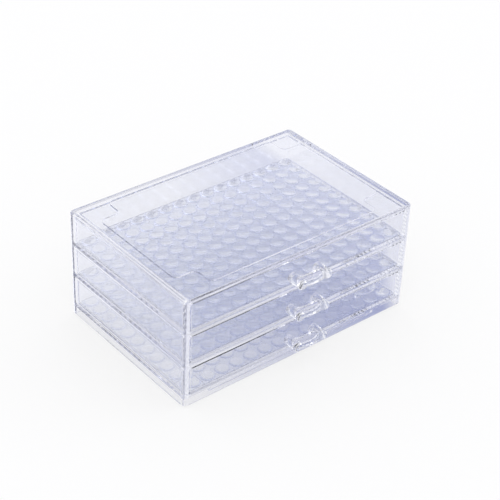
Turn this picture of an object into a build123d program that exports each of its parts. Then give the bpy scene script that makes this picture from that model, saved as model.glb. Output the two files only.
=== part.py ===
from build123d import *
import os

# A clear plastic manicure box with three drawers, in millimetres.
# +Z is up, +X is the right end and -Y is the way the drawers open.
# The origin is on the underside, at the middle of the whole closed box, handles included.

# Casing: the outer shell with its shelves
casing_width = 217.0
casing_depth = 145.0
side_wall = 4.2
back_wall = 3.5
upright_corner = 4.0
inner_corner = 1.5
top_edge_round = 2.0
bottom_edge = 1.5

# Heights from the underside up: skirt, base plate, bays with a shelf between, top plate, raised panel
skirt_height = 6.5
base_plate = 2.5
bay_height = 25.7
bay_corner = 2.5
shelf_thickness = 2.5
top_plate = 2.9
panel_rise = 1.0

# Raised panel on the top, and the rib under the base that drops round the panel of a box below
panel_end_inset = 10.5
panel_front_inset = 9.0
notch_width = 18.5
notch_depth = 17.5
notch_round = 5.0
rib_thickness = 1.6
rib_clearance = 0.5
rib_lift = 0.2

# Drawers
drawer_names = ["bottom", "middle", "top"]
front_panel = 3.0
drawer_wall = 2.0
drawer_floor = 2.0
side_clearance = 0.5
under_clearance = 0.3
over_clearance = 0.5
back_clearance = 0.5
side_drop = 1.6
tray_inner_corner = 2.0
back_corner = 3.0
front_edge = 0.6

# Bubble mats
mat_sheet = 0.8
mat_clearance = 0.4
mat_border = 0.3
bubble_columns = 15
bubble_rows = 11
bubble_rise = 1.6
bubble_corner = 3.7

# Handles: the posts' centres stand post_height over the drawer's underside, and the bar's gap and reach
# are measured from the drawer front at the posts
post_spacing = 24.0
post_radius = 4.0
post_length = 14.0
tip_edge = 1.2
post_height = 10.0
bar_height = 7.0
bar_gap = 3.5
bar_reach = 11.4
bar_bulge = 2.4
bar_edge = 1.0

# Sizes and places that follow
panel_width = casing_width - 2 * panel_end_inset
panel_depth = casing_depth - 2 * panel_front_inset
drawer_count = len(drawer_names)
bay_width = casing_width - 2 * side_wall
bay_pitch = bay_height + shelf_thickness
first_bay = skirt_height + base_plate
rim_level = first_bay + drawer_count * bay_pitch - shelf_thickness + top_plate
casing_middle = post_length / 2
casing_front = casing_middle - casing_depth / 2
casing_back = casing_middle + casing_depth / 2
inner_back = casing_back - back_wall
drawer_width = bay_width - 2 * side_clearance
drawer_corner = bay_corner - side_clearance
drawer_depth = inner_back - back_clearance - casing_front
front_height = bay_height - under_clearance - over_clearance
side_height = front_height - side_drop
tray_width = drawer_width - 2 * drawer_wall
tray_depth = drawer_depth - front_panel - drawer_wall
tray_middle = casing_front + front_panel + tray_depth / 2
mat_width = tray_width - 2 * mat_clearance
mat_depth = tray_depth - 2 * mat_clearance
bubble_pitch_x = (mat_width - 2 * mat_border) / bubble_columns
bubble_pitch_y = (mat_depth - 2 * mat_border) / bubble_rows
half_span = post_spacing / 2


def drawer_base(level):
    """Height of a drawer's underside."""
    return first_bay + level * bay_pitch + under_clearance


def level_plane(height):
    """Horizontal plane centred on the casing."""
    return Plane(origin=(0, casing_middle, height))


def front_plane(height):
    """Upright plane in the drawer fronts, facing out of the box."""
    return Plane(origin=(0, casing_front, height), x_dir=(1, 0, 0), z_dir=(0, -1, 0))


def save(piece, name):
    """Labels a finished piece and writes its file."""
    piece.part.label = name
    export_step(piece.part, f"parts/{name}.step")


os.makedirs("parts", exist_ok=True)

# Outline shared by the raised panel and the rib: a rectangle with its corners cut away
with BuildSketch() as notched:
    Rectangle(panel_width, panel_depth)
    with GridLocations(panel_width - notch_width, panel_depth - notch_depth, 2, 2):
        Rectangle(notch_width, notch_depth, mode=Mode.SUBTRACT)

# Casing
with BuildPart() as casing:
    with BuildSketch(level_plane(0)):
        RectangleRounded(casing_width, casing_depth, upright_corner)
    extrude(amount=rim_level)
    fillet(casing.edges().group_by(Axis.Z)[-1], top_edge_round)
    chamfer(casing.edges().group_by(Axis.Z)[0], bottom_edge)

    # Bays, open at the front
    for level in range(drawer_count):
        bay_centre = first_bay + level * bay_pitch + bay_height / 2
        with BuildSketch(front_plane(bay_centre)):
            RectangleRounded(bay_width, bay_height, bay_corner)
        extrude(amount=-(casing_depth - back_wall), mode=Mode.SUBTRACT)

    # Hollow underside
    with BuildSketch(level_plane(0)):
        RectangleRounded(bay_width, casing_depth - 2 * back_wall, inner_corner)
    extrude(amount=skirt_height, mode=Mode.SUBTRACT)

    # Raised panel on the top
    with BuildSketch(level_plane(rim_level)) as panel:
        add(notched.sketch)
        fillet(panel.vertices(), notch_round)
    extrude(amount=panel_rise)

    # Rib under the base, round the space that the panel of a box below takes
    with BuildSketch(level_plane(rib_lift)):
        offset(notched.sketch, amount=rib_clearance + rib_thickness, kind=Kind.INTERSECTION)
        offset(notched.sketch, amount=rib_clearance, kind=Kind.INTERSECTION, mode=Mode.SUBTRACT)
    extrude(amount=skirt_height - rib_lift)
save(casing, "casing")

# Bubble: a low eight-sided dome that touches its neighbours, the same for every place on the mats
with BuildPart() as bubble:
    with BuildSketch() as bubble_foot:
        Rectangle(bubble_pitch_x, bubble_pitch_y)
        chamfer(bubble_foot.vertices(), bubble_corner)
    loft([bubble_foot.face(), Vertex(0, 0, bubble_rise)])

# Post: one round leg of a handle, standing out of the drawer front
with BuildPart() as post:
    with BuildSketch(front_plane(0)):
        Circle(post_radius)
    extrude(amount=post_length)
    chamfer(post.faces().sort_by(Axis.Y)[0].edges(), tip_edge)

for level, which in enumerate(drawer_names):
    base = drawer_base(level)

    # Drawer: a tray with a taller front
    with BuildPart() as drawer:
        with BuildSketch(Plane(origin=(0, casing_front, base))) as drawer_plan:
            Rectangle(drawer_width, drawer_depth, align=(Align.CENTER, Align.MIN))
            fillet(drawer_plan.vertices().group_by(Axis.Y)[-1], back_corner)
        extrude(amount=front_height)
        with BuildSketch(front_plane(base + front_height / 2)):
            RectangleRounded(drawer_width, front_height, drawer_corner)
        extrude(amount=-drawer_depth, mode=Mode.INTERSECT)
        with BuildSketch(Plane(origin=(0, casing_front + front_panel, base + side_height))):
            Rectangle(drawer_width, drawer_depth, align=(Align.CENTER, Align.MIN))
        extrude(amount=front_height, mode=Mode.SUBTRACT)
        with BuildSketch(Plane(origin=(0, tray_middle, base + drawer_floor))):
            RectangleRounded(tray_width, tray_depth, tray_inner_corner)
        extrude(amount=front_height, mode=Mode.SUBTRACT)
        chamfer(drawer.faces().filter_by(Axis.Y).sort_by(Axis.Y)[0].edges(), front_edge)
    save(drawer, f"drawer_{which}")

    # Bubble mat on the floor of the tray
    with BuildPart() as mat:
        with BuildSketch(Plane(origin=(0, tray_middle, base + drawer_floor))):
            RectangleRounded(mat_width, mat_depth, tray_inner_corner)
        extrude(amount=mat_sheet)
        with Locations((0, tray_middle, base + drawer_floor + mat_sheet)):
            with GridLocations(bubble_pitch_x, bubble_pitch_y, bubble_columns, bubble_rows):
                add(bubble.part)
    save(mat, f"bubble_mat_{which}")

    # Handle: a bowed bar between two posts
    post_level = base + post_height
    with BuildPart() as handle:
        with BuildSketch(Plane(origin=(0, casing_front, post_level - bar_height / 2))):
            with BuildLine():
                outer = ThreePointArc(
                    (-half_span, -bar_reach), (0, -bar_reach - bar_bulge), (half_span, -bar_reach)
                )
                inner = ThreePointArc(
                    (-half_span, -bar_gap), (0, -bar_gap - bar_bulge), (half_span, -bar_gap)
                )
                Line(outer @ 0, inner @ 0)
                Line(outer @ 1, inner @ 1)
            make_face()
        extrude(amount=bar_height)
        chamfer(handle.edges().filter_by(GeomType.CIRCLE), bar_edge)
        with Locations((-half_span, 0, post_level), (half_span, 0, post_level)):
            add(post.part)
    save(handle, f"handle_{which}")
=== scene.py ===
# %% [markdown]
# # A clear plastic manicure box with three drawers
# The box is moulded in clear plastic with a breath of lavender in it. Almost everything that the eye
# reads on it is light that has gone through several walls, so this lesson is about three things:
# clean closed shapes, a good clear plastic, and surroundings that a clear thing can show.

# %% Load the frame
import math

import bmesh
import bpy
from mathutils import Matrix, Vector


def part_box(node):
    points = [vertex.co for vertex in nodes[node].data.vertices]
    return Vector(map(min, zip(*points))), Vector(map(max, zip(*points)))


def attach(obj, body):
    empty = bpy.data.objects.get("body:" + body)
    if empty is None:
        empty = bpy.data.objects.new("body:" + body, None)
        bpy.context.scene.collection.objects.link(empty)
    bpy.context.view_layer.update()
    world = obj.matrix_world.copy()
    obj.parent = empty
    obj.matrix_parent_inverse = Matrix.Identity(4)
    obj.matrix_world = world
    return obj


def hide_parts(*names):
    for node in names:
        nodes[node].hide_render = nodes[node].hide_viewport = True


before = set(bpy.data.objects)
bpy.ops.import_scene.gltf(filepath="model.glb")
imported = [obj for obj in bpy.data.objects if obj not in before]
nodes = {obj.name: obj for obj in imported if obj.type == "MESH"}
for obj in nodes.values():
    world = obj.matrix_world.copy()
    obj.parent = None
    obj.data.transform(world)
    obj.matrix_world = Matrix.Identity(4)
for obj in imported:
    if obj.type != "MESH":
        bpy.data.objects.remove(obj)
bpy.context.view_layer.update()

MM = 0.001
drawer_names = ["bottom", "middle", "top"]
print("the frame holds", ", ".join(sorted(nodes)))

# %% [markdown]
# ## Camera
# A product picture is taken from far off with a long lens, so that upright edges stay nearly
# parallel. A camera can be aimed by a constraint, but here it is placed by two angles round the box
# and a small roll, which are easy to change one at a time until the edges fall where they should.

# %% Camera angles
VIEW_AZIMUTH = math.radians(-40.237)
VIEW_ELEVATION = math.radians(34.323)
VIEW_ROLL = math.radians(-2.404)
VIEW_DISTANCE = 1088.29 * MM
AIM = Vector((0, 7 * MM, 47.5 * MM))

back = Vector((
    math.sin(VIEW_AZIMUTH) * math.cos(VIEW_ELEVATION),
    -math.cos(VIEW_AZIMUTH) * math.cos(VIEW_ELEVATION),
    math.sin(VIEW_ELEVATION),
))
level_right = Vector((0, 0, 1)).cross(back).normalized()
level_up = back.cross(level_right)
right = level_right * math.cos(VIEW_ROLL) - level_up * math.sin(VIEW_ROLL)
up = level_right * math.sin(VIEW_ROLL) + level_up * math.cos(VIEW_ROLL)
print("the camera looks along", [round(-part, 3) for part in back])

# %% Camera
LENS = 101.567
SHIFT = (0.0192, 0.0158)
FARTHEST = 20.0

camera_data = bpy.data.cameras.new("camera")
camera_data.lens = LENS
camera_data.shift_x, camera_data.shift_y = SHIFT
camera_data.clip_end = FARTHEST
camera = bpy.data.objects.new("camera", camera_data)
turn = Matrix((right, up, back)).transposed()
camera.matrix_world = Matrix.Translation(AIM + back * VIEW_DISTANCE) @ turn.to_4x4()
bpy.context.collection.objects.link(camera)
bpy.context.scene.camera = camera
print("the camera stands", round(VIEW_DISTANCE, 3), "m from the box")

# %% [markdown]
# ## Clear plastic
# Moulded polystyrene is clear, but never quite even: its skin has faint hazy patches, and its colour
# shows most where light has gone a long way inside, as along an edge. A Glass shader would do for a
# window. The Principled shader is used with full transmission, because its colour tints the light at
# each surface and its roughness can vary, and an absorbing volume behind it deepens the colour with
# the distance that light travels.

# %% Node helpers
def add_node(tree, kind, **inputs):
    """Adds a node and sets its inputs, whose names are written in small letters with underscores."""
    node = tree.nodes.new(kind)
    for name, value in inputs.items():
        node.inputs[name.replace("_", " ").title()].default_value = value
    return node


def add_math(tree, operation, first, second):
    """A Math node on two sockets, or on a socket and a number."""
    node = tree.nodes.new("ShaderNodeMath")
    node.operation = operation
    tree.links.new(first, node.inputs[0])
    if isinstance(second, float):
        node.inputs[1].default_value = second
    else:
        tree.links.new(second, node.inputs[1])
    return node.outputs["Value"]


def add_mix(tree, first, second, amount):
    """Mixes two colours, each a value or a socket, by an amount from 0 to 1."""
    node = tree.nodes.new("ShaderNodeMix")
    node.data_type = "RGBA"
    for name, colour in (("A", first), ("B", second)):
        if isinstance(colour, tuple):
            node.inputs[name].default_value = colour
        else:
            tree.links.new(colour, node.inputs[name])
    tree.links.new(amount, node.inputs["Factor"])
    return node.outputs["Result"]


# %% Clear plastic
PLASTIC_IOR = 1.49
DEEP_TINT = (0.70, 0.72, 0.90, 1)
PATCH_SCALE = 90.0
PATCH_DETAIL = 3.0
CLEAREST_PATCH = 1.01
LEAST_HAZE = 0.4
MOST_HAZE = 1.6


def clear_plastic(name, tint, haze, depth, ior=PLASTIC_IOR, deep=DEEP_TINT, painted_shade=None):
    """
    A clear plastic. haze is the roughness of its skin, and depth is how fast light that goes a long way
    inside turns to the deep tint. painted_shade is a darker colour that paints shade, with a function
    that adds the nodes for its amount.
    """
    material = bpy.data.materials.new(name)
    material.use_nodes = True
    tree = material.node_tree
    shader = tree.nodes["Principled BSDF"]
    shader.inputs["Transmission Weight"].default_value = 1.0
    shader.inputs["IOR"].default_value = ior

    place = tree.nodes.new("ShaderNodeTexCoord")
    patches = add_node(tree, "ShaderNodeTexNoise", scale=PATCH_SCALE, detail=PATCH_DETAIL)
    tree.links.new(place.outputs["Object"], patches.inputs["Vector"])
    skin = add_node(
        tree, "ShaderNodeMapRange", to_min=LEAST_HAZE * haze, to_max=MOST_HAZE * haze
    )
    tree.links.new(patches.outputs["Fac"], skin.inputs["Value"])
    tree.links.new(skin.outputs["Result"], shader.inputs["Roughness"])

    clearest = tuple(min(1, CLEAREST_PATCH * part) for part in tint)
    colour = add_mix(tree, (*tint, 1), (*clearest, 1), patches.outputs["Fac"])
    # painted shade: a darker colour mixed into the base colour by the amount that the function gives
    if painted_shade:
        shade_colour, amount = painted_shade
        colour = add_mix(tree, colour, shade_colour, amount(tree))
    tree.links.new(colour, shader.inputs["Base Color"])

    body = add_node(tree, "ShaderNodeVolumeAbsorption", color=deep, density=depth)
    tree.links.new(body.outputs["Volume"], tree.nodes["Material Output"].inputs["Volume"])
    print(name, "has", len(tree.nodes), "nodes")
    return material


# %% Drawers and handles in plastic
HANDLE_DEEP_TINT = (0.55, 0.56, 0.64, 1)

drawer_plastic = clear_plastic(
    "drawer_plastic", tint=(0.980, 0.983, 0.997), haze=0.02, depth=1.5
)
handle_plastic = clear_plastic(
    "handle_plastic", tint=(0.98, 0.98, 0.99), haze=0.004, depth=10, deep=HANDLE_DEEP_TINT
)

# %% [markdown]
# ## Casing plastic, and the painted dark line round the raised panel
# The panel on the top stands only a millimetre proud. Its edges that face the ends of the box read as
# thin dark lines, because light that enters such a step is caught inside the plate. Refraction alone
# leaves them too faint at this size. A dark strip of mesh would be one more piece to keep in place, so
# the step gets painted shade instead: a darker colour, found by its height and by the way that it
# faces.

# %% Casing plastic
STEP_FROM = 94.05 * MM
# painted shade: the dark colour that the panel's step is given in place of light caught inside the
# plate
STEP_PAINTED_SHADE = (0.22, 0.24, 0.34, 1)


def step_shade_amount(tree):
    """How much painted shade the panel's step gets: 1 where it faces the ends of the box, less where it
    turns, 0 elsewhere.
    """
    place = tree.nodes["Texture Coordinate"].outputs
    spot = tree.nodes.new("ShaderNodeSeparateXYZ")
    tree.links.new(place["Object"], spot.inputs["Vector"])
    facing = tree.nodes.new("ShaderNodeSeparateXYZ")
    tree.links.new(place["Normal"], facing.inputs["Vector"])
    endways = add_math(tree, "MULTIPLY", facing.outputs["X"], facing.outputs["X"])
    on_step = add_math(tree, "GREATER_THAN", spot.outputs["Z"], STEP_FROM)
    return add_math(tree, "MULTIPLY", endways, on_step)


casing_plastic = clear_plastic(
    "casing_plastic", tint=(0.978, 0.981, 0.996), haze=0.02, depth=1.5,
    painted_shade=(STEP_PAINTED_SHADE, step_shade_amount),
)

# %% [markdown]
# ## Soft mat material
# The mats are a softer, milkier sheet with rows of low bubbles. Round each bubble the sheet looks
# darker, as a crease does, because light is caught there, and that shade is painted on. A pattern could
# paint it, but the mesh already knows where its creases are. So each point carries a number named
# crease_shade: 1 in a ring round the foot of a bubble, less on the flat sheet between them, and 0 on
# the bubble itself and under the mat. The material mixes in its darker painted-shade colour by that
# number.

# %% Mat material
MAT_IOR = 1.25
# painted shade: the darker colour mixed in round the foot of each bubble and on the sheet between
# bubbles
CREASE_PAINTED_SHADE = (0.66, 0.70, 0.87, 1)


def crease_shade_amount(tree):
    """How much painted shade the mesh gives each point, read from its crease_shade number."""
    crease_shade = tree.nodes.new("ShaderNodeAttribute")
    crease_shade.attribute_name = "crease_shade"
    return crease_shade.outputs["Fac"]


mat_plastic = clear_plastic(
    "mat_plastic", tint=(0.982, 0.985, 0.999), haze=0.11, depth=2, ior=MAT_IOR,
    painted_shade=(CREASE_PAINTED_SHADE, crease_shade_amount),
)

# %% [markdown]
# ## Moulded pieces
# The frame holds the real shapes of the casing, the drawers and the handles, but as loose triangles,
# and light that goes through a clear piece shows every seam. So each one gets a copy with its points
# merged. Smooth shading all over would bend the light in the flat walls. Flat shading all over would
# show facets on the round edges. So only the faces that lie square to no axis are shaded smooth.

# %% Finishing a piece
def finish_piece(name, shape, material, body, node):
    """Turns a bmesh into a piece that rides on a body in place of a node of the frame."""
    mesh = bpy.data.meshes.new(name)
    shape.to_mesh(mesh)
    shape.free()
    mesh.materials.append(material)
    piece = bpy.data.objects.new(name, mesh)
    bpy.context.collection.objects.link(piece)
    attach(piece, body)
    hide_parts(node)
    print(name, "has", len(mesh.polygons), "faces")
    return piece


# %% Moulded copies
SHARP_ANGLE = math.radians(50)
MERGE = 0.001 * MM
SQUARE = 0.9999


def moulded_piece(name, node, material, body, shift=(0, 0, 0)):
    """A merged copy of a node, smooth where it is round and flat where it is flat."""
    shape = bmesh.new()
    shape.from_mesh(nodes[node].data)
    bmesh.ops.remove_doubles(shape, verts=shape.verts, dist=MERGE)
    bmesh.ops.translate(shape, verts=shape.verts, vec=shift)
    piece = finish_piece(name, shape, material, body, node)
    piece.data.set_sharp_from_angle(angle=SHARP_ANGLE)
    round_faces = [max(abs(part) for part in face.normal) < SQUARE for face in piece.data.polygons]
    piece.data.polygons.foreach_set("use_smooth", round_faces)
    return piece


moulded_piece("casing_shell", "casing", casing_plastic, "casing")

# %% [markdown]
# ## Drawers and handles
# The handles are bonded to the drawer fronts, so light goes from one into the other. Where two clear
# solids share a face exactly, a ray can't tell which one it is in, and the face turns black. A film
# of air between them would act as a mirror. So each handle sinks into its drawer by less than a hair,
# and the two surfaces then cancel each other.

# %% Drawers and handles
BOND = 0.05 * MM

for which in drawer_names:
    body = f"drawer_{which}"
    moulded_piece(f"tray_{which}", body, drawer_plastic, body)
    moulded_piece(
        f"pull_{which}", f"handle_{which}", handle_plastic, body, (0, BOND, 0)
    )

# %% [markdown]
# ## Bubble mats
# Each mat is one sheet with 15 by 11 bubbles. A displaced grid would need a very fine mesh to look
# round. One bubble in its own rectangle of sheet is enough here: it is copied into a row, the row is
# copied into a field, and the copies are merged. The bubble itself is a disc of twelve sides, inset
# again and again, each time a little higher, and poked to a point at the top.

# %% Bubble sizes
BUBBLE_COLUMNS = 15
BUBBLE_ROWS = 11
BUBBLE_SIDES = 12
BUBBLE_FILL = 0.96
MAT_SHEET = 0.8 * MM

low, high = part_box("bubble_mat_top")
pitch = Vector(((high.x - low.x) / BUBBLE_COLUMNS, (high.y - low.y) / BUBBLE_ROWS))
bubble_rise = high.z - low.z - MAT_SHEET
bubble_radius = BUBBLE_FILL * pitch.y / 2
print("one bubble takes", [round(part / MM, 2) for part in pitch], "mm")


# %% Points and edges of a bmesh
def points_in(geometry):
    """The points among all that a bmesh operator gives back."""
    return [item for item in geometry if isinstance(item, bmesh.types.BMVert)]


def open_edges(shape):
    """The edges that have a face on one side only."""
    return [edge for edge in shape.edges if edge.is_boundary]


# %% One bubble: each ring of it has a share of the radius, a share of the height and an amount of painted crease shade
RINGS = [(0.96, 0.0, 1.0), (0.88, 0.45, 1.0), (0.70, 0.84, 0.0)]
# painted shade on the flat sheet between the bubbles
FLAT_PAINTED_SHADE = 0.4


def bubble_cell():
    """A dome in the middle of its own flat rectangle of sheet."""
    shape = bmesh.new()
    crease_shade = shape.verts.layers.float.new("crease_shade")
    bmesh.ops.create_circle(shape, cap_ends=True, segments=BUBBLE_SIDES, radius=bubble_radius)
    half_side = Matrix.Rotation(math.pi / BUBBLE_SIDES, 3, "Z")
    bmesh.ops.rotate(shape, verts=shape.verts, cent=Vector((0, 0, 0)), matrix=half_side)
    for v in shape.verts:
        v[crease_shade] = FLAT_PAINTED_SHADE
    top = shape.faces[:]
    for reach, height, crease_shaded in RINGS:
        bmesh.ops.inset_region(shape, faces=top, thickness=0.0, depth=0.0, use_boundary=True)
        for v in top[0].verts:
            outward = Vector((v.co.x, v.co.y, 0)).normalized()
            v.co = outward * bubble_radius * reach + Vector((0, 0, bubble_rise * height))
            v[crease_shade] = crease_shaded
    for v in bmesh.ops.poke(shape, faces=top)["verts"]:
        v.co.z = bubble_rise
        v[crease_shade] = 0.0
    bmesh.ops.scale(shape, verts=shape.verts, vec=(pitch.x / pitch.y, 1, 1))
    sheet = bmesh.ops.extrude_edge_only(shape, edges=open_edges(shape))["geom"]
    for v in points_in(sheet):
        farthest = max(abs(v.co.x) / pitch.x, abs(v.co.y) / pitch.y)
        v.co = Vector((v.co.x / farthest / 2, v.co.y / farthest / 2, 0))
        v[crease_shade] = FLAT_PAINTED_SHADE
    return shape


# %% Rows and columns
SEAM = 0.01 * MM


def repeat(shape, count, step):
    """Copies all of a shape again and again, one step further each time."""
    first = shape.verts[:] + shape.edges[:] + shape.faces[:]
    for number in range(1, count):
        copy = bmesh.ops.duplicate(shape, geom=first)["geom"]
        bmesh.ops.translate(shape, verts=points_in(copy), vec=step * number)


def bubble_field(low):
    """All the bubbles of a mat, merged into one open sheet."""
    shape = bubble_cell()
    repeat(shape, BUBBLE_COLUMNS, Vector((pitch.x, 0, 0)))
    repeat(shape, BUBBLE_ROWS, Vector((0, pitch.y, 0)))
    bmesh.ops.remove_doubles(shape, verts=shape.verts, dist=SEAM)
    corner = Vector((low.x + pitch.x / 2, low.y + pitch.y / 2, low.z + MAT_SHEET))
    bmesh.ops.translate(shape, verts=shape.verts, vec=corner)
    return shape


# %% [markdown]
# ## Edge and underside of a mat
# Light goes right through a mat, so it has to be a closed solid. The open edge of the sheet is
# extruded down, its four corners are rounded by a bevel, and one face closes the underside. The mat
# stops a little above the drawer floor, because two clear faces in one place turn black.

# %% Whole mats
MAT_LIFT = 0.12 * MM
MAT_CORNER = 2.0 * MM
CORNER_STEPS = 3
CORNER_ANGLE = math.radians(80)


def bubble_mat(name, node, body):
    """A whole mat: the field of bubbles, its edge down to the drawer floor and its underside."""
    low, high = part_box(node)
    shape = bubble_field(low)
    crease_shade = shape.verts.layers.float["crease_shade"]
    rim = bmesh.ops.extrude_edge_only(shape, edges=open_edges(shape))["geom"]
    for v in points_in(rim):
        v.co.z = low.z + MAT_LIFT
        v[crease_shade] = 0.0
    shape.normal_update()
    uprights = [
        edge for edge in shape.edges
        if len(edge.link_faces) == 2 and edge.calc_face_angle() > CORNER_ANGLE
        and abs(edge.verts[0].co.z - edge.verts[1].co.z) > MAT_SHEET / 2
    ]
    bmesh.ops.bevel(
        shape, geom=uprights, offset=MAT_CORNER, offset_type="OFFSET", affect="EDGES",
        segments=CORNER_STEPS, profile=0.5, material=-1, clamp_overlap=True,
    )
    bmesh.ops.holes_fill(shape, edges=open_edges(shape), sides=0)
    bmesh.ops.recalc_face_normals(shape, faces=shape.faces)
    print(name, "has", len(uprights), "corners and", len(open_edges(shape)), "open edges")
    piece = finish_piece(name, shape, mat_plastic, body, node)
    piece.data.set_sharp_from_angle(angle=SHARP_ANGLE)
    return piece


for which in drawer_names:
    bubble_mat(f"mat_{which}", f"bubble_mat_{which}", f"drawer_{which}")

# %% [markdown]
# ## Paper
# The box stands on white paper. A clear box shows the paper through its walls, where its own shadow
# would darken it, so the paper glows a little for the camera and for rays that come off the plastic
# or through it. For the light that falls on it, it is plain paper and keeps the shadow.

# %% Paper
PAPER_COLOUR = (0.93, 0.93, 0.95, 1)
PAPER_ROUGHNESS = 0.9
PAPER_GLOW = 0.78
WHITE = (1, 1, 1, 1)

paper = bpy.data.materials.new("paper")
paper.use_nodes = True
tree = paper.node_tree
tree.nodes["Principled BSDF"].inputs["Base Color"].default_value = PAPER_COLOUR
tree.nodes["Principled BSDF"].inputs["Roughness"].default_value = PAPER_ROUGHNESS

ray = tree.nodes.new("ShaderNodeLightPath").outputs
by_plastic = add_math(tree, "MAXIMUM", ray["Is Glossy Ray"], ray["Is Transmission Ray"])
seen = add_math(tree, "MAXIMUM", ray["Is Camera Ray"], by_plastic)
glow_share = add_math(tree, "MULTIPLY", seen, PAPER_GLOW)
print(paper.name, "glows by", PAPER_GLOW)

# %% [markdown]
# ## Painted shade on the paper that shows through the box
# The real box is lighter at its left and more lavender towards its right, although its plastic is the
# same at both ends. What is seen through a clear thing starts behind it, so the paper carries painted
# shade: through plastic, its glow goes from near white to lavender across the paper, a painted shadow
# of the box that falls towards the right. A strip inside the right wall is light again, because no mat
# lies in front of that wall. So the painted shade clears where those rays land. Both borders lean,
# because a ray that enters the box higher up lands further back.

# %% Painted shade, lavender towards the right
# painted shade: the colours of the paper's glow through plastic, on its lit side and on its shaded side
LIT_SIDE = (0.97, 0.97, 1.0, 1)
SHADED_SIDE = (0.34, 0.38, 0.67, 1)
SHADE_FROM = -55 * MM
SHADE_TO = 140 * MM
SHADE_LEAN = 0.65

spot = tree.nodes.new("ShaderNodeSeparateXYZ")
tree.links.new(tree.nodes.new("ShaderNodeTexCoord").outputs["Object"], spot.inputs["Vector"])
lean = add_math(tree, "MULTIPLY", spot.outputs["Y"], SHADE_LEAN)
across = add_math(tree, "SUBTRACT", spot.outputs["X"], lean)
painted_shade_ramp = add_node(tree, "ShaderNodeMapRange", from_min=SHADE_FROM, from_max=SHADE_TO)
tree.links.new(across, painted_shade_ramp.inputs["Value"])
print("the paper turns lavender over", round((SHADE_TO - SHADE_FROM) / MM), "mm")

# %% Painted shade clears past the right wall
CLEAR_FROM = 143 * MM
CLEAR_TO = 160 * MM
CLEAR_LEAN = 0.85
CLEAR_LEAN_MOST = 20 * MM
CLEAR_SHARE = 0.15

lean = add_math(tree, "MULTIPLY", spot.outputs["Y"], CLEAR_LEAN)
lean = add_math(tree, "MINIMUM", lean, CLEAR_LEAN_MOST)
past_wall = add_math(tree, "SUBTRACT", spot.outputs["X"], lean)
kept = add_node(
    tree, "ShaderNodeMapRange", from_min=CLEAR_FROM, from_max=CLEAR_TO, to_min=1.0, to_max=CLEAR_SHARE
)
tree.links.new(past_wall, kept.inputs["Value"])
shade = add_math(tree, "MULTIPLY", painted_shade_ramp.outputs["Result"], kept.outputs["Result"])
print("past the wall", CLEAR_SHARE, "of the lavender is left")

# %% Glow of the paper
# painted shadow of the box on the paper, which only rays through plastic see
through_plastic = add_mix(tree, LIT_SIDE, SHADED_SIDE, shade)
glow = tree.nodes.new("ShaderNodeEmission")
glow_colour = add_mix(tree, WHITE, through_plastic, ray["Is Transmission Ray"])
tree.links.new(glow_colour, glow.inputs["Color"])
mixed = tree.nodes.new("ShaderNodeMixShader")
tree.links.new(glow_share, mixed.inputs[0])
tree.links.new(tree.nodes["Principled BSDF"].outputs["BSDF"], mixed.inputs[1])
tree.links.new(glow.outputs["Emission"], mixed.inputs[2])
tree.links.new(mixed.outputs["Shader"], tree.nodes["Material Output"].inputs["Surface"])
print(paper.name, "has", len(tree.nodes), "nodes")

# %% Floor
FLOOR_SIZE = 3.0
FLOOR_DROP = 0.2 * MM

floor_shape = bmesh.new()
bmesh.ops.create_grid(floor_shape, x_segments=1, y_segments=1, size=FLOOR_SIZE)
bmesh.ops.translate(floor_shape, verts=floor_shape.verts, vec=(0, 0, -FLOOR_DROP))
floor_mesh = bpy.data.meshes.new("floor")
floor_shape.to_mesh(floor_mesh)
floor_shape.free()
floor_mesh.materials.append(paper)
floor = bpy.data.objects.new("floor", floor_mesh)
bpy.context.collection.objects.link(floor)
print("floor of", 2 * FLOOR_SIZE, "m")

# %% [markdown]
# ## Studio
# A clear thing in a plain white room nearly vanishes. Photographers keep its edges by giving it
# something darker to refract. Lamps and cards could stand in the scene as objects, but then the walls
# of the box would show them as shapes. So all of it is in the sky: white from below the horizon up to
# about 30 degrees, a grey band above that, and white again overhead.

# %% Sky: heights from the horizon, 0, to straight up, 1, and their colours
SKY = [
    (0.00, (1.00, 1.00, 1.00)),
    (0.52, (1.00, 1.00, 1.02)),
    (0.67, (0.55, 0.555, 0.60)),
    (0.82, (0.80, 0.81, 0.85)),
    (0.95, (1.00, 1.00, 1.02)),
]

world = bpy.data.worlds.new("studio")
bpy.context.scene.world = world
world.use_nodes = True
tree = world.node_tree
direction = tree.nodes.new("ShaderNodeTexCoord").outputs["Generated"]
upward = tree.nodes.new("ShaderNodeSeparateXYZ")
tree.links.new(direction, upward.inputs["Vector"])
sky = tree.nodes.new("ShaderNodeValToRGB")
sky.color_ramp.interpolation = "EASE"
for level, colour in SKY[2:]:
    sky.color_ramp.elements.new(level)
for element, (level, colour) in zip(sky.color_ramp.elements, SKY):
    element.position = level
    element.color = (*colour, 1)
tree.links.new(upward.outputs["Z"], sky.inputs["Fac"])
print("the sky has", len(sky.color_ramp.elements), "bands")

# %% [markdown]
# ## Soft lights and dark cards
# Two round soft lights give glints, and two dark cards give the rims their darker lines. A dark card is
# a light with a negative strength, which is taken off what the sky gives. Light can't be less than
# nothing, so the sum is held just above black.

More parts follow.
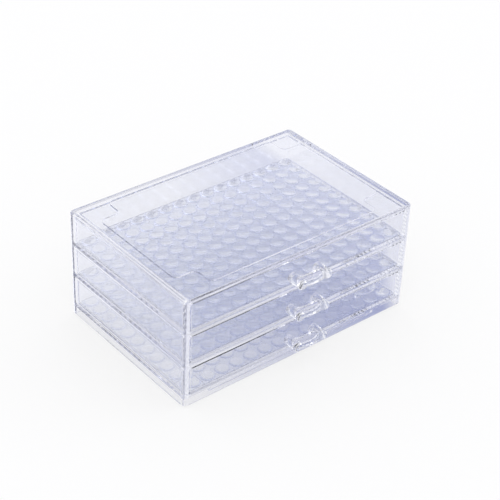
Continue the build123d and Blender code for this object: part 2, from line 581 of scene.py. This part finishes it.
# %% Soft lights and dark cards: the way to each, its half width in degrees and its strength
CARDS = [
    ((-0.45, -0.35, 0.82), 9, 2.5),
    ((0.80, -0.40, 0.50), 14, 1.5),
    ((0.50, -0.75, 0.42), 12, -1.0),
    ((-0.80, 0.30, 0.45), 16, -1.0),
]
CARD_EDGE = 4
DARKEST = (0.03, 0.03, 0.04)


def add_card(below, towards, spread, strength):
    """Adds a round card with a soft edge to the light from below it in the tree."""
    aim = tree.nodes.new("ShaderNodeVectorMath")
    aim.operation = "DOT_PRODUCT"
    aim.inputs[1].default_value = Vector(towards).normalized()
    tree.links.new(direction, aim.inputs[0])
    edge = add_node(
        tree, "ShaderNodeMapRange", from_min=math.cos(math.radians(spread + CARD_EDGE)),
        from_max=math.cos(math.radians(spread)), to_max=strength,
    )
    edge.interpolation_type = "SMOOTHSTEP"
    tree.links.new(aim.outputs["Value"], edge.inputs["Value"])
    total = tree.nodes.new("ShaderNodeVectorMath")
    total.operation = "ADD"
    tree.links.new(below, total.inputs[0])
    tree.links.new(edge.outputs["Result"], total.inputs[1])
    return total.outputs["Vector"]


light = sky.outputs["Color"]
for towards, spread, strength in CARDS:
    light = add_card(light, towards, spread, strength)
lightest = tree.nodes.new("ShaderNodeVectorMath")
lightest.operation = "MAXIMUM"
lightest.inputs[1].default_value = DARKEST
tree.links.new(light, lightest.inputs[0])
print("the sky holds", len(CARDS), "lights and cards")

# %% The plain white room that the camera and matt surfaces see
ray = tree.nodes.new("ShaderNodeLightPath").outputs
plain = add_math(tree, "MAXIMUM", ray["Is Camera Ray"], ray["Is Diffuse Ray"])
room = add_mix(tree, lightest.outputs["Vector"], WHITE, plain)
tree.links.new(room, tree.nodes["Background"].inputs["Color"])
print(world.name, "has", len(tree.nodes), "nodes")

# %% [markdown]
# ## Light paths
# A ray that slips into the rim of a wall bounces along inside it dozens of times before it comes out.
# With the usual limit it would give up there and leave the rim black, so the limits are raised.

# %% Bounces and colour
BOUNCES = 128
TRANSPARENT_BOUNCES = 16

scene = bpy.context.scene
scene.view_settings.view_transform = "Standard"
scene.cycles.max_bounces = BOUNCES
scene.cycles.transmission_bounces = BOUNCES
scene.cycles.glossy_bounces = BOUNCES
scene.cycles.transparent_max_bounces = TRANSPARENT_BOUNCES
print("light may bounce", BOUNCES, "times")
